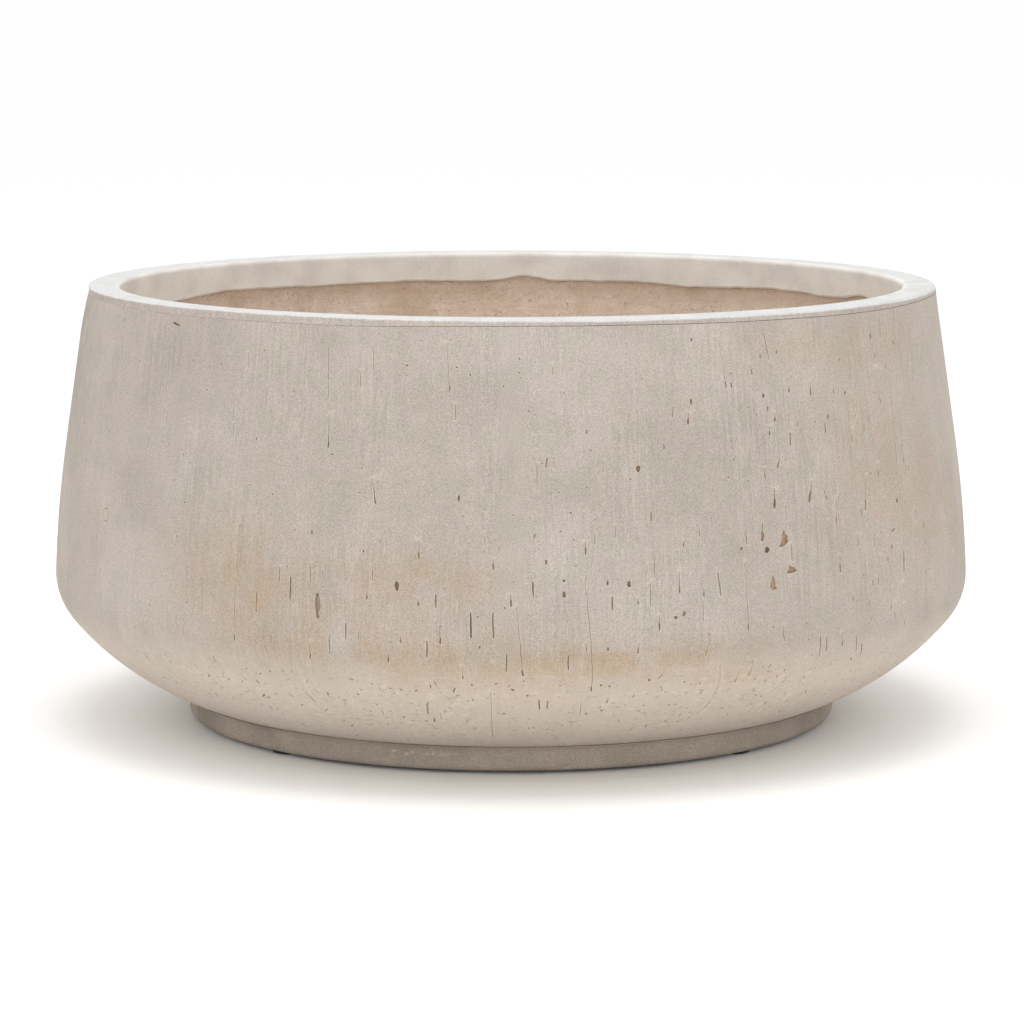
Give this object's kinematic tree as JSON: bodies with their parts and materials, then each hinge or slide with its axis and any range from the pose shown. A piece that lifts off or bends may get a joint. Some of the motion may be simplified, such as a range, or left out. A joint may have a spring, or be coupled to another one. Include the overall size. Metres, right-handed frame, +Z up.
{
  "type": "bowl planter",
  "caption": "Low, wide, round concrete planter with a leaning wall, a rounded belly, a pale rim, a low plinth and a plugged floor drain.",
  "frame": {"origin": "on the floor, on the bowl's axis, under the pads", "axes": "+Z up along the bowl's axis, -Y towards the front of the pictured view, +X to its right"},
  "size_m": [0.6, 0.6, 0.2855],
  "materials": {
    "concrete": "matt grey-beige, brushed, with tan pits",
    "rim": "pale, smooth trowelled",
    "lining": "raw, brown, fibrous",
    "plinth": "matt grey-beige, darker near the floor",
    "sleeve": "matt moulded grey",
    "plug": "matt black moulded",
    "pads": "matt black, ribbed"
  },
  "bodies": {
    "bowl": {"outer_shell": "concrete", "rim_cap": "rim", "fibre_lining": "lining", "plinth_ring": "plinth", "drain_sleeve": "sleeve", "foot_pad_1": "pads", "foot_pad_2": "pads", "foot_pad_3": "pads", "foot_pad_4": "pads"},
    "plug": {"drain_plug": "plug"}
  },
  "joints": [
    {"name": "plug_lift", "type": "slide", "parent": "bowl", "child": "plug", "axis": [0, 0, 1], "range_m": [0, 0.3]}
  ]
}
